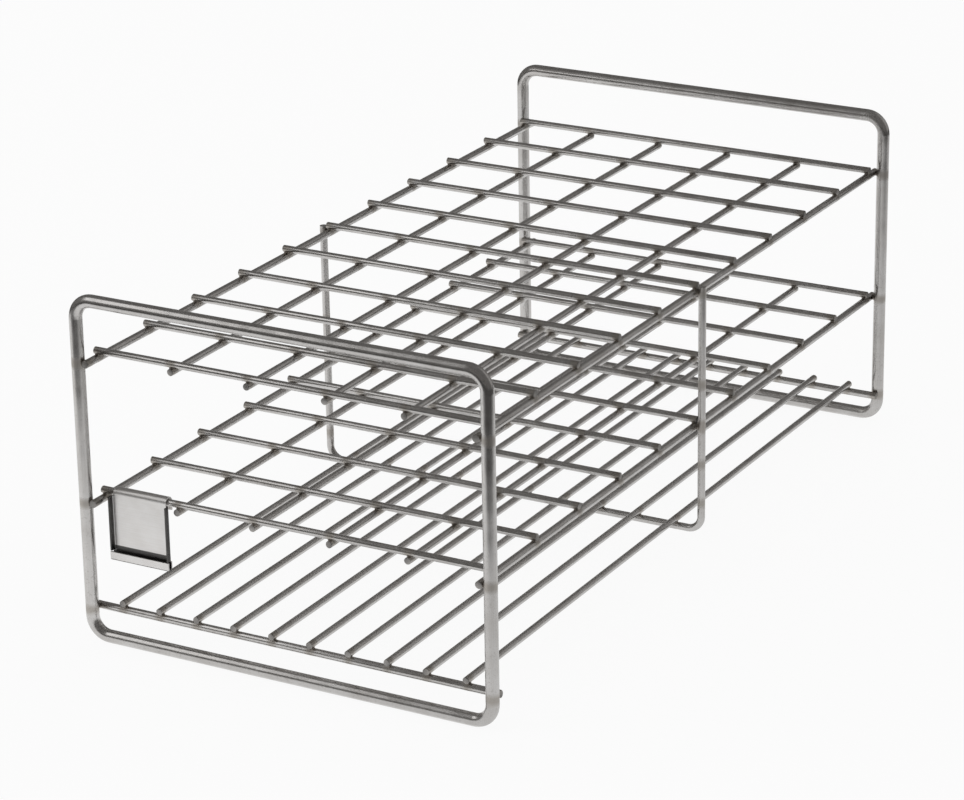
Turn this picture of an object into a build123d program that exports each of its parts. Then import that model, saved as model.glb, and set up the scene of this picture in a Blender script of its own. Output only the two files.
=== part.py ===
from build123d import *
import os

# Wire rack for fifty test tubes, all wire welded where it touches.
# X runs across the rack, Y along it from the near end to the far end, and Z is up.
# The origin is on the surface that the rack stands on, in the middle of the rack.

# Layout of the tube places
pitch = 24.0                   # from one tube place to the next, both ways
columns = 5                    # tube places across the rack
rows = 10                      # tube places along the rack

# Wire gauges
frame_wire = 3.7               # diameter of the end frames
rim_wire = 2.2                 # diameter of the rim wires, shelf bars and centre support
grid_wire = 2.0                # diameter of the inner wires of the grids and the shelf

# Heights above the surface that the rack stands on
rack_height = 101.3            # to the top of the end frames
upper_grid_height = 82.5       # plane where the upper cross wires lie on the long wires
middle_grid_height = 42.1      # the same plane of the middle grid
shelf_height = 10.4            # plane where the shelf wires lie on the shelf bars

# Bends, measured at the middle of the wire
frame_bend = 5.5               # corners of the end frames
support_bend = 4.2             # lower corners of the centre support

# Gaps and overruns
end_gap = 2.25                 # clear space between the last cross wire and an end frame
rim_overrun = 1.3              # rim wires run on past the middle of the posts
long_overrun = 1.4             # inner long wires run on past the last cross wires
cross_end_gap = 0.1            # cross wires stop this far inside the rim wires' outer sides
shelf_overrun = 1.3            # shelf wires run on past the middle of the shelf bars
bar_overrun = 1.0              # shelf bars run on past the middle of the posts
support_rise = 0.7             # legs of the centre support end this far above the rim wires

# The many thin wires are drawn with this many flats, which lie where the wires meet
grid_wire_sides = 16

# Label plate
label_sheet = 0.5              # sheet thickness
label_drop = 19.3              # from the middle of the wire that carries it to its lower edge
label_left_gap = 1.6           # clear of the rim wire
label_right_gap = 1.4          # clear of the first inner long wire
label_wire_gap = 0.1           # clearance of its hook around the wire
label_hook_tail = 2.6          # length of the hook's tail behind the wire
label_bend = 0.4               # inner radius of its folds
label_side_depth = 1.4         # its sides stand this far forward of its face
label_side_drop = 0.6          # its sides start this far below the middle of the wire
label_lip_depth = 1.5          # its lip stands this far forward of its face
label_lip_height = 2.6         # height of its lip
label_slit = 0.3               # slit between its sides and its lip

# Places that follow from the sizes above
frame_radius = frame_wire / 2
rim_radius = rim_wire / 2
grid_radius = grid_wire / 2
rim_x = columns * pitch / 2
post_x = rim_x + rim_radius + frame_radius
support_x = rim_x + 2 * rim_radius
last_cross_y = rows * pitch / 2
frame_y = last_cross_y + grid_radius + end_gap + frame_radius
bar_y = frame_y - frame_radius - rim_radius
bar_z = shelf_height - rim_radius

os.makedirs("parts", exist_ok=True)


def save(piece, name):
    """Label a finished piece and write it under that name."""
    piece.part.label = name
    export_step(piece.part, f"parts/{name}.step")


def round_wire(name, middle, direction, half_length):
    """A straight rim-gauge wire with cut ends, reaching half_length both ways from its middle."""
    with BuildPart() as wire:
        with BuildSketch(Plane(origin=middle, z_dir=direction)):
            Circle(rim_radius)
        extrude(amount=half_length, both=True)
    save(wire, name)


def thin_wire(name, middle, direction, half_length):
    """A straight grid-gauge wire with cut ends, seated on its flats."""
    with BuildPart() as wire:
        with BuildSketch(Plane(origin=middle, z_dir=direction)):
            RegularPolygon(grid_radius, grid_wire_sides, major_radius=False, rotation=180 / grid_wire_sides)
        extrude(amount=half_length, both=True)
    save(wire, name)


def end_frame(name, y):
    """A closed loop of the thickest wire with rounded corners, standing across the rack."""
    low = frame_radius
    high = rack_height - frame_radius
    corners = [(-post_x, low), (post_x, low), (post_x, high), (-post_x, high)]
    with BuildPart() as loop:
        with BuildLine(Plane.XZ.offset(-y)) as path:
            FilletPolyline(*corners, radius=frame_bend, close=True)
        with BuildSketch(Plane(origin=path.line @ 0, z_dir=path.line % 0)):
            Circle(frame_radius)
        sweep(path=path.line)
    save(loop, name)


def tube_grid(level, height):
    """Long wires side by side with cross wires lying on them, one square for each tube."""
    rim_half = frame_y + rim_overrun
    long_half = last_cross_y + long_overrun
    cross_half = rim_x + rim_radius - cross_end_gap
    for side, x in (("left", -rim_x), ("right", rim_x)):
        middle = (x, 0, height - rim_radius)
        round_wire(f"{level}_rim_wire_{side}", middle, (0, 1, 0), rim_half)
    for i in range(1, columns):
        middle = (i * pitch - rim_x, 0, height - grid_radius)
        thin_wire(f"{level}_long_wire_{i}", middle, (0, 1, 0), long_half)
    for i in range(rows + 1):
        middle = (0, i * pitch - last_cross_y, height + grid_radius)
        thin_wire(f"{level}_cross_wire_{i + 1:02d}", middle, (1, 0, 0), cross_half)


# End frames
end_frame("end_frame_near", -frame_y)
end_frame("end_frame_far", frame_y)

# Two grids that hold the tubes upright
tube_grid("upper", upper_grid_height)
tube_grid("middle", middle_grid_height)

# Bottom shelf: two wires under each column of tubes, on a bar at each end
shelf_spacing = pitch / 2
shelf_wires = 2 * columns
for i in range(shelf_wires):
    shelf_x = (i - (shelf_wires - 1) / 2) * shelf_spacing
    shelf_middle = (shelf_x, 0, shelf_height + grid_radius)
    thin_wire(f"shelf_wire_{i + 1:02d}", shelf_middle, (0, 1, 0), bar_y + shelf_overrun)
round_wire("shelf_bar_near", (0, -bar_y, bar_z), (1, 0, 0), post_x + bar_overrun)
round_wire("shelf_bar_far", (0, bar_y, bar_z), (1, 0, 0), post_x + bar_overrun)

# Centre support: a U of wire that carries the shelf and is welded outside the rim wires
support_top = upper_grid_height + support_rise
support_points = [
    (-support_x, support_top),
    (-support_x, bar_z),
    (support_x, bar_z),
    (support_x, support_top),
]
with BuildPart() as centre_support:
    with BuildLine(Plane.XZ) as support_path:
        FilletPolyline(*support_points, radius=support_bend)
    with BuildSketch(Plane(origin=support_path.line @ 0, z_dir=support_path.line % 0)):
        Circle(rim_radius)
    sweep(path=support_path.line)
save(centre_support, "centre_support")

# Label plate: its hook goes over the first cross wire of the middle grid
hook_y = -last_cross_y
hook_z = middle_grid_height + grid_radius
hook_radius = grid_radius + label_wire_gap
outer_fold = label_bend + label_sheet
plate_left = rim_radius - rim_x + label_left_gap
plate_right = pitch - rim_x - grid_radius - label_right_gap
plate_back = hook_y - hook_radius
plate_front = plate_back - label_sheet
plate_low = hook_z - label_drop
lip_front = plate_front - label_lip_depth
lip_high = plate_low + label_lip_height
side_front = plate_front - label_side_depth
side_low = lip_high + label_slit
side_high = hook_z - label_side_drop
side_corners = [
    (plate_left, side_front),
    (plate_left, plate_back),
    (plate_right, plate_back),
    (plate_right, side_front),
]

with BuildPart() as label_plate:
    # Hook over the wire and the face below it, as wide as the flat between the two sides
    with BuildSketch(Plane.YZ.offset(plate_left + outer_fold)):
        with BuildLine():
            tail = Line((hook_y + hook_radius, hook_z - label_hook_tail), (hook_y + hook_radius, hook_z))
            over = JernArc(tail @ 1, tail % 1, hook_radius, 180)
            Line(over @ 1, (plate_back, lip_high))
            offset(amount=label_sheet, side=Side.RIGHT, closed=True)
        make_face()
    extrude(amount=plate_right - plate_left - 2 * outer_fold)
    # Lip along the foot of the face, folded forward and up over the full width
    with BuildSketch(Plane.YZ.offset(plate_left)):
        with BuildLine():
            foot = Line((plate_back, lip_high), (plate_back, plate_low + outer_fold))
            fold = JernArc(foot @ 1, foot % 1, outer_fold, -90)
            floor = Line(fold @ 1, (lip_front + outer_fold, plate_low))
            turn = JernArc(floor @ 1, floor % 1, outer_fold, -90)
            Line(turn @ 1, (lip_front, lip_high))
            offset(amount=label_sheet, side=Side.RIGHT, closed=True)
        make_face()
    extrude(amount=plate_right - plate_left)
    # Face and its two sides, folded forward, from the slit above the lip to just below the wire
    with BuildSketch(Plane.XY.offset(side_low)):
        with BuildLine():
            FilletPolyline(*side_corners, radius=outer_fold)
            offset(amount=label_sheet, side=Side.RIGHT, closed=True)
        make_face()
    extrude(amount=side_high - side_low)
save(label_plate, "label_plate")
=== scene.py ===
import math

import bpy
from mathutils import Matrix, Vector


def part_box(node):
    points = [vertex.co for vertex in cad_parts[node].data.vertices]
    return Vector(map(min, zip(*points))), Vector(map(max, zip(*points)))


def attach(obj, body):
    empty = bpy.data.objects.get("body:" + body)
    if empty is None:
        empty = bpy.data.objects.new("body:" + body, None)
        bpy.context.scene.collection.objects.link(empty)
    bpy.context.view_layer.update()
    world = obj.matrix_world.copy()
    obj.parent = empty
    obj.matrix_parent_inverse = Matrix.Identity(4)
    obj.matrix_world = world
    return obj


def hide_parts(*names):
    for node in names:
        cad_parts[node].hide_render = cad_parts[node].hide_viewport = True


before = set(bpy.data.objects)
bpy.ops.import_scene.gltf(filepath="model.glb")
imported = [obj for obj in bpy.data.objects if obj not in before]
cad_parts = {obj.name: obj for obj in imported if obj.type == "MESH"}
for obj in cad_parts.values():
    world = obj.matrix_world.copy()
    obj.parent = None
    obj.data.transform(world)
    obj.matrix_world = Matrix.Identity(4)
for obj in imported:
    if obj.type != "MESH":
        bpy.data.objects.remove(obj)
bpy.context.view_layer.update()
MM = 0.001
AXES = (Vector((1, 0, 0)), Vector((0, 1, 0)), Vector((0, 0, 1)))


# The wires of the rack, as the frame has them
class Wire:
    """A straight round wire: its node, direction, middle, radius and both ends."""

    def __init__(self, node, low, high):
        size = high - low
        self.node = node
        self.axis = max(range(3), key=lambda i: size[i])
        self.middle = (low + high) / 2
        self.radius = min(size) / 2
        self.low = low[self.axis]
        self.high = high[self.axis]

    def reaches(self, place):
        return self.low - self.radius <= place <= self.high + self.radius


def corners(node):
    """Lowest and highest corner of a node."""
    low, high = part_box(node)
    return Vector(low), Vector(high)


def bent_wire_runs(node):
    """The two upright legs and the foot of a bent wire that stands in a plane across the rack."""
    low, high = corners(node)
    thickness = high.y - low.y
    left = Wire(node, low, Vector((low.x + thickness, high.y, high.z)))
    right = Wire(node, Vector((high.x - thickness, low.y, low.z)), high)
    foot = Wire(node, low, Vector((high.x, high.y, low.z + thickness)))
    return [left, right, foot]


BENT_NODES = ("end_frame_near", "end_frame_far", "centre_support")
PLATE_NODE = "label_plate"
straight_nodes = sorted(set(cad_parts) - {*BENT_NODES, PLATE_NODE})
straight_wires = [Wire(node, *corners(node)) for node in straight_nodes]
all_wires = straight_wires + [run for node in BENT_NODES for run in bent_wire_runs(node)]

# Every place where two wires touch is welded
TOUCHING = 0.03 * MM


def find_welds():
    """Each pair of crossing wires that touch, as (lower-numbered wire, other wire)."""
    found = []
    for number, one in enumerate(all_wires):
        for other in all_wires[number + 1:]:
            if one.axis == other.axis or one.node == other.node:
                continue
            between = 3 - one.axis - other.axis
            apart = abs(one.middle[between] - other.middle[between])
            if abs(apart - one.radius - other.radius) > TOUCHING:
                continue
            if one.reaches(other.middle[one.axis]) and other.reaches(one.middle[other.axis]):
                found.append((one, other))
    return found


welds = find_welds()


def weld_places(part_of_name):
    """Where the wires with that in their name are welded, along their own direction."""
    places = set()
    for one, other in welds:
        for wire, crossing in ((one, other), (other, one)):
            if part_of_name in wire.node:
                places.add(round(crossing.middle[wire.axis] / MM, 1))
    return [place * MM for place in sorted(places)]


# Mesh helpers
SHARP_TURN = math.radians(50)


def mesh_object(name, points, faces, sharp=SHARP_TURN):
    """A new object with smooth faces, apart from edges that turn more than the given angle."""
    mesh = bpy.data.meshes.new(name)
    mesh.from_pydata(points, [], faces)
    mesh.shade_smooth()
    mesh.set_sharp_from_angle(angle=sharp)
    thing = bpy.data.objects.new(name, mesh)
    bpy.context.scene.collection.objects.link(thing)
    return thing


def closed_skin(rings, first=0):
    """Points and faces of a closed form through rings of points, numbered from first."""
    count = len(rings[0])
    points = [point for ring in rings for point in ring]
    points += [sum(ring, Vector()) / count for ring in (rings[0], rings[-1])]
    faces = []
    for ring in range(len(rings) - 1):
        a = first + ring * count
        b = a + count
        faces += [(a + i, a + (i + 1) % count, b + (i + 1) % count, b + i) for i in range(count)]
    last = first + (len(rings) - 1) * count
    start = last + count
    faces += [(start, first + (i + 1) % count, first + i) for i in range(count)]
    faces += [(start + 1, last + i, last + (i + 1) % count) for i in range(count)]
    return points, faces


def square(reach, height):
    """The four corners of a level square round the middle."""
    outline = ((-reach, -reach), (reach, -reach), (reach, reach), (-reach, reach))
    return [(x, y, height) for x, y in outline]


# Straight wires, truly round, with sheared ends
WIRE_SIDES = 32
END_ROUNDING = 0.14 * MM
END_SHEAR = 0.18 * MM
END_STEPS = 3
SHEAR_TURN = 2.4               # radians, from one wire to the next


def round_wire(wire, number):
    """The wire as it is drawn and cut: its ends are a little rounded and not quite square."""
    along = AXES[wire.axis]
    across = AXES[(wire.axis + 1) % 3]
    beside = along.cross(across)
    line = wire.middle - along * wire.middle[wire.axis]
    turns = [math.pi / 2 * step / END_STEPS for step in range(END_STEPS + 1)]
    rings = []
    for end, inward, order in ((wire.low, 1, turns), (wire.high, -1, turns[::-1])):
        lean = SHEAR_TURN * number + inward
        for turn in order:
            depth = END_ROUNDING * (1 - math.cos(turn))
            radius = wire.radius - END_ROUNDING * (1 - math.sin(turn))
            ring = []
            for side in range(WIRE_SIDES):
                angle = 2 * math.pi * side / WIRE_SIDES
                shear = END_SHEAR * (1 + math.cos(angle - lean)) / 2
                out = across * math.cos(angle) + beside * math.sin(angle)
                ring.append(line + along * (end + inward * (depth + shear)) + out * radius)
            rings.append(ring)
    return mesh_object("round_" + wire.node, *closed_skin(rings))


# Weld beads
WELD_SIDES = 20
WELD_SPREAD = 0.80             # of the thinner wire's radius
WELD_SQUARENESS = 0.8          # 0 for a round bead, 1 for a square one
WELD_WAIST = 0.16              # of the bead's reach
WELD_SINK = 0.06 * MM          # into each wire
WELD_HEIGHTS = (0, 0.25, 0.5, 0.75, 1)
# Waves round a bead: how many, how high, and how far they turn from one bead to the next
WELD_WAVES = ((2, 0.07, 1.7), (3, 0.05, 2.9))


def weld_bead(one, other, number):
    """Rings of a small bead that fills the corners round the place where two wires touch."""
    between = 3 - one.axis - other.axis
    side = 1 if other.middle[between] > one.middle[between] else -1
    up = AXES[between] * side
    along = AXES[one.axis]
    beside = up.cross(along)
    touch = one.middle.copy()
    touch[one.axis] = other.middle[one.axis]
    touch[other.axis] = one.middle[other.axis]
    touch += up * one.radius
    spread = WELD_SPREAD * min(one.radius, other.radius)
    rings = [[] for _ in WELD_HEIGHTS]
    for step in range(WELD_SIDES):
        angle = 2 * math.pi * step / WELD_SIDES
        cosine, sine = math.cos(angle), math.sin(angle)
        uneven = 1
        for waves, wave_height, wave_turn in WELD_WAVES:
            uneven += wave_height * math.sin(waves * angle + wave_turn * number)
        reach = spread * uneven / max(abs(cosine), abs(sine)) ** WELD_SQUARENESS
        low = -one.radius + math.sqrt(one.radius ** 2 - (reach * sine) ** 2) - WELD_SINK
        high = other.radius - math.sqrt(other.radius ** 2 - (reach * cosine) ** 2) + WELD_SINK
        out = along * cosine + beside * sine
        for ring, height in zip(rings, WELD_HEIGHTS):
            radius = reach * (1 - WELD_WAIST * math.sin(math.pi * height))
            ring.append(touch + out * radius + up * (low + (high - low) * height))
    return rings


def weld_group(level):
    """All the beads on the wires of one level, as one piece."""
    points, faces = [], []
    for number, (one, other) in enumerate(welds):
        if one.node.startswith(level) or other.node.startswith(level):
            more_points, more_faces = closed_skin(weld_bead(one, other, number), len(points))
            points += more_points
            faces += more_faces
    return mesh_object(level + "_welds", points, faces)


# Materials
class Nodes:
    """A short way to write a node tree."""

    def __init__(self, tree):
        self.tree = tree
        self.tree.nodes.clear()

    def add(self, kind, inputs=None, **settings):
        node = self.tree.nodes.new(kind)
        for key, value in settings.items():
            setattr(node, key, value)
        for key, value in (inputs or {}).items():
            if isinstance(value, bpy.types.NodeSocket):
                self.tree.links.new(value, node.inputs[key])
            else:
                node.inputs[key].default_value = value
        return node

    def math(self, operation, a, b=None, c=None):
        values = {i: v for i, v in enumerate((a, b, c)) if v is not None}
        return self.add("ShaderNodeMath", values, operation=operation).outputs[0]

    def place(self):
        """The place on the object, which is the place in the rack's own frame."""
        return self.add("ShaderNodeTexCoord").outputs["Object"]

    def split(self, place):
        """The three coordinates of a place."""
        return self.add("ShaderNodeSeparateXYZ", {"Vector": place}).outputs

    def noise(self, place, scale, detail):
        """Noise from 0 to 1, with scale in cycles a metre."""
        settings = {"Vector": place, "Scale": scale, "Detail": detail, "Roughness": 0.55}
        return self.add("ShaderNodeTexNoise", settings).outputs["Fac"]

    def stretched_noise(self, place, scales, detail):
        """Noise from 0 to 1, with a scale in cycles a metre for each axis."""
        place = self.add("ShaderNodeMapping", {"Vector": place, "Scale": scales}).outputs[0]
        return self.noise(place, 1.0, detail)

    def fade(self, value, start, end):
        """0 at start, 1 at end, and even between them."""
        settings = {"Value": value, "From Min": start, "From Max": end}
        return self.add("ShaderNodeMapRange", settings, clamp=True).outputs[0]

    def ramp(self, factor, stops):
        node = self.add("ShaderNodeValToRGB", {"Fac": factor})
        for element, (place, colour) in zip(node.color_ramp.elements, stops):
            element.position = place
            element.color = colour
        return node.outputs["Color"]

    def mix(self, factor, a, b, blend="MIX"):
        node = self.add("ShaderNodeMix", data_type="RGBA", blend_type=blend)
        for index, value in ((0, factor), (6, a), (7, b)):
            if isinstance(value, bpy.types.NodeSocket):
                self.tree.links.new(value, node.inputs[index])
            else:
                node.inputs[index].default_value = value
        return node.outputs[2]

    def shade(self, factor, colour, stops):
        """Multiply the colour, at half strength, by the tones of a ramp."""
        return self.mix(0.5, colour, self.ramp(factor, stops), "MULTIPLY")

    def bump(self, height, distance, under=None):
        settings = {"Strength": 1.0, "Distance": distance, "Height": height}
        if under:
            settings["Normal"] = under
        return self.add("ShaderNodeBump", settings).outputs[0]

    def diffuse(self, colour):
        return self.add("ShaderNodeBsdfDiffuse", {"Color": colour}).outputs[0]

    def either(self, factor, one, other):
        """One shader where the factor is 0, and the other where it is 1."""
        return self.add("ShaderNodeMixShader", {0: factor, 1: one, 2: other}).outputs[0]

    def surface(self, shader):
        self.add("ShaderNodeOutputMaterial", {"Surface": shader})

    def metal(self, colour, rough, normal):
        settings = {"Base Color": colour, "Roughness": rough, "Normal": normal, "Metallic": 1.0}
        self.surface(self.add("ShaderNodeBsdfPrincipled", settings).outputs[0])


def tone(value, warmth=0.02):
    """A slightly warm grey as RGBA."""
    return (value * (1 + warmth), value, value * (1 - warmth), 1)


WHITE = tone(1.0, 0)


def new_material(name):
    material = bpy.data.materials.new(name)
    material.use_nodes = True
    return material, Nodes(material.node_tree)


# Drawn wire. Noise scales are in cycles a metre.
STEEL = 0.60
STEEL_ROUGHNESS = 0.24
LINES_ACROSS = 5200
LINES_ALONG = 60
CLOUD_SCALE = 110.0
SPECK_SCALE = 1700.0
WAVE_SCALE = 85.0
CLOUD_ROUGHNESS = 0.16
LINE_ROUGHNESS = 0.10
WAVE_HEIGHT = 0.25 * MM
LINE_HEIGHT = 0.008 * MM

# Heat marks beside the welds, with a ragged edge
HEAT_START = 3.0 * MM
HEAT_FULL = 1.5 * MM
HEAT_RAGGED = 1.8 * MM
HEAT_TINT = 0.55
HEAT_ROUGHNESS = 0.16
STRAW = (STEEL * 0.62, STEEL * 0.56, STEEL * 0.48, 1)

# Cut ends: painted darker, as a painted dark reflection, and rougher
TIP = 0.3 * MM
TIP_SHADE = 0.7
TIP_ROUGHNESS = 0.25
TIP_SHADE_TONE = 0.4 * STEEL


def wire_steel(name, along, welded_at, tip=None):
    """Drawn wire: fine lines along it, soft clouds, dull straw marks at its welds, and a painted dark
    reflection on its rougher cut ends.
    """
    material, n = new_material(name)
    place = n.place()
    scales = [LINES_ACROSS] * 3
    scales[along] = LINES_ALONG
    lines = n.stretched_noise(place, scales, 2.0)
    clouds = n.noise(place, CLOUD_SCALE, 4.0)
    specks = n.noise(place, SPECK_SCALE, 1.0)
    waves = n.noise(place, WAVE_SCALE, 1.0)
    colour = n.ramp(clouds, [(0.3, tone(STEEL * 0.84, 0.03)), (0.7, tone(STEEL * 1.06, 0.015))])
    colour = n.shade(lines, colour, [(0.3, tone(0.82)), (0.6, WHITE)])
    colour = n.shade(specks, colour, [(0.28, tone(0.7)), (0.40, WHITE)])
    rough = n.math("MULTIPLY_ADD", clouds, CLOUD_ROUGHNESS, STEEL_ROUGHNESS - CLOUD_ROUGHNESS / 2)
    rough = n.math("SUBTRACT", rough, LINE_ROUGHNESS / 2)
    rough = n.math("MULTIPLY_ADD", lines, LINE_ROUGHNESS, rough)
    coordinate = n.split(place)[along]
    nearest = None
    for spot in welded_at:
        away = n.math("ABSOLUTE", n.math("SUBTRACT", coordinate, spot))
        nearest = away if nearest is None else n.math("MINIMUM", nearest, away)
    ragged = n.math("MULTIPLY_ADD", clouds, HEAT_RAGGED, nearest)
    heat = n.fade(ragged, HEAT_START, HEAT_FULL)
    colour = n.mix(n.math("MULTIPLY", heat, HEAT_TINT), colour, STRAW)
    rough = n.math("MULTIPLY_ADD", heat, HEAT_ROUGHNESS, rough)
    if tip:
        # Painted reflection: the cut ends are painted dark for the dark room they face; they are also made
        # rougher
        cut = n.fade(n.math("ABSOLUTE", coordinate), tip - TIP, tip)
        colour = n.mix(n.math("MULTIPLY", cut, TIP_SHADE), colour, tone(TIP_SHADE_TONE))
        rough = n.math("MULTIPLY_ADD", cut, TIP_ROUGHNESS, rough)
    normal = n.bump(waves, WAVE_HEIGHT)
    normal = n.bump(lines, LINE_HEIGHT, normal)
    n.metal(colour, rough, normal)
    return material


# Weld metal
BEAD_CLOUD_SCALE = 600.0
BEAD_LUMP_SCALE = 1500.0
BEAD_LUMP_HEIGHT = 0.08 * MM
BEAD_DARK = (0.20, 0.175, 0.15, 1)
BEAD_LIGHT = (0.36, 0.33, 0.30, 1)
BEAD_ROUGHNESS = 0.30
BEAD_CLOUD_ROUGHNESS = 0.2


def weld_steel():
    """Weld metal: duller and browner than the wire, and a little lumpy."""
    material, n = new_material("weld_steel")
    place = n.place()
    clouds = n.noise(place, BEAD_CLOUD_SCALE, 3.0)
    lumps = n.noise(place, BEAD_LUMP_SCALE, 2.0)
    colour = n.ramp(clouds, [(0.3, BEAD_DARK), (0.7, BEAD_LIGHT)])
    rough = n.math("MULTIPLY_ADD", clouds, BEAD_CLOUD_ROUGHNESS, BEAD_ROUGHNESS)
    n.metal(colour, rough, n.bump(lumps, BEAD_LUMP_HEIGHT))
    return material


# Label plate, with places measured from its own lowest corner
PLATE_LIP_HEIGHT = 2.6 * MM
PLATE_FACE_DEPTH = 1.5 * MM
PLATE_SHEET = 0.5 * MM
BAND_HEIGHT = 1.7 * MM
FOOT_LINE = 0.6 * MM
BRUSHING = (90, 3500, 3500)
PLATE_CLOUD_SCALE = 160.0
PLATE_CLOUD_HEIGHT = 0.10 * MM
BRUSHING_HEIGHT = 0.012 * MM
PLATE_ROUGHNESS = 0.30
BRUSHING_ROUGHNESS = 0.16
# Painted shade: the folded edges, the strip behind the lip and the line along the foot are painted dark
# and made a little rougher
PAINTED_SHADE_ROUGHNESS = 0.15
PAINTED_SHADE_TONE = 0.07
SIDES_SHADE = 0.93
BAND_SHADE = 0.9
FOOT_SHADE = 0.8


def plate_steel():
    """Satin sheet: fine brushed lines across it; painted shade darkens its folded edges, a plain strip
    behind its lip, and its foot.
    """
    material, n = new_material("plate_steel")
    low, _ = corners(PLATE_NODE)
    place = n.place()
    _, y, z = n.split(place)
    lines = n.stretched_noise(place, BRUSHING, 3.0)
    clouds = n.noise(place, PLATE_CLOUD_SCALE, 4.0)
    colour = n.ramp(clouds, [(0.3, tone(0.76, 0.02)), (0.7, tone(0.84, 0.01))])
    colour = n.shade(lines, colour, [(0.3, tone(0.84)), (0.65, WHITE)])
    face_y = low.y + PLATE_FACE_DEPTH
    lip_y = low.y + PLATE_SHEET
    lip_top = low.z + PLATE_LIP_HEIGHT
    band_top = lip_top + BAND_HEIGHT
    # Painted shade masks: edges folded forward of the face, the strip between lip and face, and the foot
    forward = n.fade(y, face_y - 0.02 * MM, face_y - 0.10 * MM)
    above_lip = n.fade(z, lip_top, lip_top + 0.2 * MM)
    side_shade = n.math("MULTIPLY", forward, above_lip)
    band_shade = n.fade(z, band_top, band_top - 0.15 * MM)
    behind_lip = n.fade(y, lip_y - 0.05 * MM, lip_y + 0.05 * MM)
    in_front = n.fade(y, face_y + 0.3 * MM, face_y + 0.1 * MM)
    band_shade = n.math("MULTIPLY", n.math("MULTIPLY", band_shade, behind_lip), in_front)
    foot = n.fade(z, low.z + FOOT_LINE, low.z + FOOT_LINE / 2)
    dark = n.math("MULTIPLY", side_shade, SIDES_SHADE)
    dark = n.math("MAXIMUM", dark, n.math("MULTIPLY", band_shade, BAND_SHADE))
    dark = n.math("MAXIMUM", dark, n.math("MULTIPLY", foot, FOOT_SHADE))
    colour = n.mix(dark, colour, tone(PAINTED_SHADE_TONE))
    rough = n.math("MULTIPLY_ADD", lines, BRUSHING_ROUGHNESS, PLATE_ROUGHNESS)
    rough = n.math("MULTIPLY_ADD", dark, PAINTED_SHADE_ROUGHNESS, rough)
    normal = n.bump(clouds, PLATE_CLOUD_HEIGHT)
    normal = n.bump(lines, BRUSHING_HEIGHT, normal)
    n.metal(colour, rough, normal)
    return material


# Dress the rack: round wires stand for the straight nodes, and the other nodes keep their own meshes
WIRE_KINDS = (("cross_wire", "grid_wire"), ("long_wire", "grid_wire"), ("shelf_wire", "grid_wire"),
              ("rim_wire", "rim_wire"), ("shelf_bar", "rim_wire"))
for kind, slot in WIRE_KINDS:
    members = [wire for wire in straight_wires if kind in wire.node]
    finish = wire_steel("steel_" + kind, members[0].axis, weld_places(kind), members[0].high)
    for number, wire in enumerate(members):
        piece = round_wire(wire, number)
        piece.data.materials.append(finish)
        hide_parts(wire.node)
        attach(piece, "root")


def dress(node, material):
    """Give a node's object one material."""
    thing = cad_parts[node]
    thing.data.materials.clear()
    thing.data.materials.append(material)


LEG_AXIS = 2
frame_steel = wire_steel("steel_end_frame", LEG_AXIS, weld_places("end_frame"))
dress("end_frame_near", frame_steel)
dress("end_frame_far", frame_steel)
support_steel = wire_steel("steel_centre_support", LEG_AXIS, weld_places("centre_support"))
dress("centre_support", support_steel)
dress(PLATE_NODE, plate_steel())

bead_finish = weld_steel()
for level in ("upper", "middle", "shelf"):
    beads = weld_group(level)
    beads.data.materials.append(bead_finish)
    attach(beads, "root")


# Studio. The floor and the sky behind it are white where the camera or a reflection looks at them.
FLOOR_REACH = 3.0
FLOOR_TONE = 0.92
FLOOR_GLOW = 0.92
SKY_TONE = 0.62


def looked_at(n):
    """1 where a camera ray or its mirror or clear continuation looks, otherwise 0."""
    rays = n.add("ShaderNodeLightPath").outputs
    seen = n.math("MAXIMUM", rays["Is Camera Ray"], rays["Is Glossy Ray"])
    return n.math("MAXIMUM", seen, rays["Is Transmission Ray"])


def floor_paper():
    material, n = new_material("studio_floor")
    paper = n.diffuse(tone(FLOOR_TONE, 0))
    white = n.add("ShaderNodeEmission", {"Color": WHITE, "Strength": 1.0}).outputs[0]
    share = n.math("MULTIPLY", looked_at(n), FLOOR_GLOW)
    n.surface(n.either(share, paper, white))
    return material


floor = mesh_object("studio_floor", square(FLOOR_REACH, 0), [(0, 1, 2, 3)])
floor.data.materials.append(floor_paper())

# What bright wire sees round the white table: dark cards and a flag. Only reflections show them.
ROOM_REACH = 1.5
ROOM_HEIGHT = 1.5
ROOM_TONE = tone(0.26, 0.03)
REAR_RIGHT_TONE = tone(0.62, 0.02)
REAR_RIGHT_X = (0.0, 1.1)
REAR_RIGHT_Y = (0.2, 0.8)
ROOM_SHARP_TURN = 0.1
FLAG = ((-1.2, 0.30), (0.6, 0.30), (0.6, 0.90), (-1.2, 0.90))
FLAG_Y = -0.15
CARD_LIFT = 0.001
CARD_TONE = tone(0.10, 0.03)
TABLE_FADE = 0.03
# The table's edges: the direction outward, and how far out they lie
TABLE_EDGES = (
    ((-1.00, 0.00, 0), 0.45),
    ((0.00, 1.00, 0), 0.42),
    ((0.00, -1.00, 0), 0.300),
    ((0.46, -0.89, 0), 0.262),
    ((0.80, -0.60, 0), 0.255),
    ((0.97, -0.24, 0), 0.265),
)
# The table itself gets darker to the right, up to this cover: painted shade, as the key light comes from
# the left
TABLE_SHADE = 0.35
TABLE_SHADE_X = (-0.10, 0.25)


def reflected_only(thing):
    """Stage a piece of the studio that reflections show and nothing else does."""
    thing.visible_camera = False
    thing.visible_diffuse = False
    thing.visible_shadow = False


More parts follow.
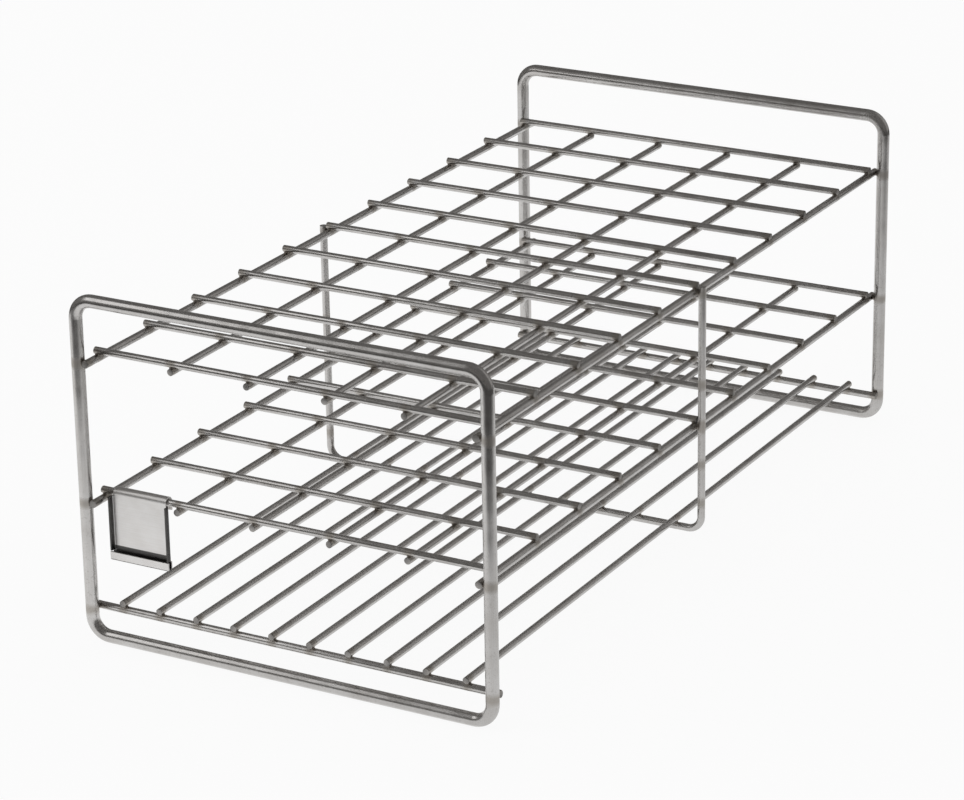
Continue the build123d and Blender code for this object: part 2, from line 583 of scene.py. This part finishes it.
def dark_room():
    """Dark walls and ceiling, lighter towards the right rear, and a flag over the near end."""
    points = square(ROOM_REACH, CARD_LIFT) + square(ROOM_REACH, ROOM_HEIGHT)
    points += [(x, FLAG_Y, z) for x, z in FLAG]
    faces = [(i, (i + 1) % 4, 4 + (i + 1) % 4, 4 + i) for i in range(4)]
    faces += [(4, 5, 6, 7), (8, 9, 10, 11)]
    room = mesh_object("studio_dark_room", points, faces, ROOM_SHARP_TURN)
    material, n = new_material("dark_room")
    x, y, _ = n.split(n.place())
    rear_right = n.math("MULTIPLY", n.fade(x, *REAR_RIGHT_X), n.fade(y, *REAR_RIGHT_Y))
    n.surface(n.diffuse(n.mix(rear_right, ROOM_TONE, REAR_RIGHT_TONE)))
    room.data.materials.append(material)
    reflected_only(room)


def dark_floor():
    """The floor beyond the white table, which fades in at the table's edges."""
    card = mesh_object("studio_dark_floor", square(ROOM_REACH, CARD_LIFT), [(0, 1, 2, 3)])
    material, n = new_material("dark_floor")
    place = n.place()
    # Painted shade: the table, as reflections show it, is darkened towards the right, away from the key
    # light
    cover = n.math("MULTIPLY", n.fade(n.split(place)[0], *TABLE_SHADE_X), TABLE_SHADE)
    for outward, distance in TABLE_EDGES:
        dot = n.add("ShaderNodeVectorMath", {0: place, 1: outward}, operation="DOT_PRODUCT")
        past = n.fade(dot.outputs["Value"], distance - TABLE_FADE, distance + TABLE_FADE)
        cover = n.math("MAXIMUM", cover, past)
    clear = n.add("ShaderNodeBsdfTransparent").outputs[0]
    n.surface(n.either(cover, clear, n.diffuse(CARD_TONE)))
    card.data.materials.append(material)
    reflected_only(card)


dark_room()
dark_floor()

world = bpy.data.worlds.new("studio")
bpy.context.scene.world = world
world.use_nodes = True
w = Nodes(world.node_tree)
soft = w.add("ShaderNodeBackground", {"Color": tone(SKY_TONE, 0), "Strength": 1.0}).outputs[0]
white = w.add("ShaderNodeBackground", {"Color": WHITE, "Strength": 1.0}).outputs[0]
w.add("ShaderNodeOutputWorld", {"Surface": w.either(looked_at(w), soft, white)})

# The key lamp is high at the left front, and aims at the table beside the rack
KEY_PLACE = Vector((-0.856, -0.748, 0.913))
KEY_AIM = Vector((-0.856, -0.125, 0.1))
KEY_WIDTH = 0.5
KEY_LENGTH = 1.0
KEY_POWER = 1.9

lamp = bpy.data.lights.new("key", "AREA")
lamp.shape = "RECTANGLE"
lamp.size = KEY_WIDTH
lamp.size_y = KEY_LENGTH
lamp.energy = KEY_POWER
key = bpy.data.objects.new("key", lamp)
key.location = KEY_PLACE
key.rotation_euler = (KEY_AIM - KEY_PLACE).to_track_quat("-Z", "Y").to_euler()
bpy.context.scene.collection.objects.link(key)

# Camera at the photo's angle. Angles in degrees, lengths in metres.
CAMERA_AZIMUTH = 29.474
CAMERA_ELEVATION = 20.844
CAMERA_ROLL = -0.985
CAMERA_DISTANCE = 1.07267
CAMERA_TARGET = Vector((-5.30, -7.22, 40.18)) * MM
CLIP_START = 0.05
CLIP_END = 20
FOCAL_PIXELS = 3683.8
PHOTO_WIDTH = 964
SENSOR_MM = 36.0

azimuth = math.radians(CAMERA_AZIMUTH)
elevation = math.radians(CAMERA_ELEVATION)
roll = math.radians(CAMERA_ROLL)
level_back = Vector((math.sin(azimuth), -math.cos(azimuth), 0))
back = level_back * math.cos(elevation) + AXES[2] * math.sin(elevation)
right = Vector((math.cos(azimuth), math.sin(azimuth), 0))
up = back.cross(right)
right_rolled = right * math.cos(roll) + up * math.sin(roll)
up_rolled = up * math.cos(roll) - right * math.sin(roll)
lens = bpy.data.cameras.new("camera")
lens.sensor_width = SENSOR_MM
lens.lens = SENSOR_MM * FOCAL_PIXELS / PHOTO_WIDTH
lens.clip_start = CLIP_START
lens.clip_end = CLIP_END
camera = bpy.data.objects.new("camera", lens)
turn = Matrix((right_rolled, up_rolled, back)).transposed().to_4x4()
camera.matrix_world = Matrix.Translation(CAMERA_TARGET + back * CAMERA_DISTANCE) @ turn
bpy.context.scene.collection.objects.link(camera)
bpy.context.scene.camera = camera
bpy.context.scene.view_settings.view_transform = "Standard"
